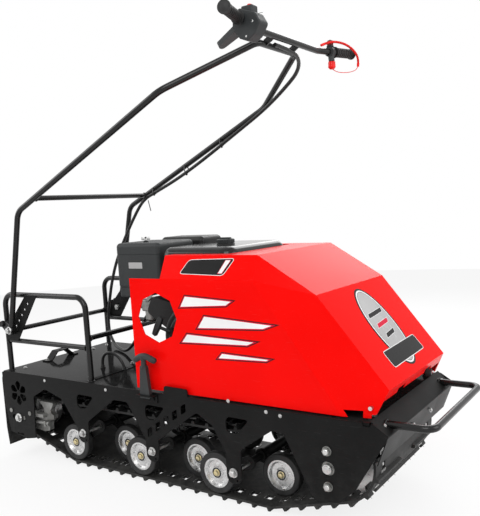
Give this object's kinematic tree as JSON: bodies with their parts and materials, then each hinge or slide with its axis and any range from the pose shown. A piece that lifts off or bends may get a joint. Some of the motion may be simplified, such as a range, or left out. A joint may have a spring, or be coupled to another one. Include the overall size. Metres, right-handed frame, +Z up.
{
  "type": "tracked snow towing vehicle",
  "caption": "Walk-behind snow tug with one wide rubber track between laser-cut side plates, tilting red hood, rear cargo rack and folding tubular handle",
  "frame": {"origin": "middle of the machine's box at ground level", "axes": "+X forward towards the bumper, +Y to the machine's left, +Z up"},
  "size_m": [1.84, 0.8464, 1.5777],
  "materials": {
    "black_paint": "satin powder coat",
    "black_gloss": "gloss enamel",
    "red_paint": "gloss enamel",
    "track_rubber": "moulded rubber, matt",
    "tyre_rubber": "moulded rubber, satin",
    "grip_rubber": "soft rubber, matt",
    "zinc_steel": "zinc plated",
    "cast_grey": "die cast, matt",
    "black_plastic": "moulded plastic, fine grain",
    "cable_sheath": "ribbed plastic sheath",
    "red_plastic": "coiled cord and cap"
  },
  "bodies": {
    "chassis": {"side_plate_right": "black_paint", "side_plate_left": "black_paint", "deck_plate": "black_gloss", "front_cover_plate": "black_paint", "front_bumper": "black_paint", "rear_panel": "black_paint", "track": "track_rubber", "roller_tyres": "tyre_rubber", "roller_discs": "zinc_steel", "bogie_arms": "black_paint", "bogie_pins": "zinc_steel", "drive_axle": "zinc_steel", "drive_bearings": "cast_grey", "rear_idler_axle": "zinc_steel", "track_tensioners": "zinc_steel", "cargo_rack_right": "black_paint", "cargo_rack_left": "black_paint", "rack_crossbars": "black_paint", "handle_bracket_right": "black_paint", "handle_bracket_left": "black_paint", "handle_pivot_bolts": "zinc_steel", "hood_hinge_pins": "zinc_steel", "engine_block": "cast_grey", "fan_cover": "black_gloss", "starter_grip": "black_plastic", "air_cleaner": "black_plastic", "fuel_tank": "black_gloss", "fuel_cap": "black_plastic", "muffler": "black_gloss", "carburettor": "cast_grey", "belt_cover": "black_paint", "gear_lever": "black_plastic", "gear_lever_bracket": "black_paint", "tow_hitch": "black_paint", "control_cable_loop": "cable_sheath", "brake_hose": "cable_sheath"},
    "handle": {"handle_frame": "black_paint", "handlebar": "black_paint", "grip_right": "grip_rubber", "grip_left": "grip_rubber", "throttle_housing": "black_plastic", "throttle_lever": "black_plastic", "kill_switch": "black_plastic", "kill_switch_cap": "red_plastic", "kill_lanyard": "red_plastic", "control_cable_upper": "cable_sheath"},
    "hood_lid": {"hood": "red_paint"}
  },
  "joints": [
    {"name": "handle_fold", "type": "hinge", "parent": "chassis", "child": "handle", "pos_m": [-0.808, 0, 0.548], "axis": [0, 1, 0], "range_deg": [-115, 0], "deforming": ["control_cable_loop"]},
    {"name": "hood_lift", "type": "hinge", "parent": "chassis", "child": "hood_lid", "pos_m": [0.738, 0, 0.404], "axis": [0, 1, 0], "range_deg": [0, 62]}
  ]
}
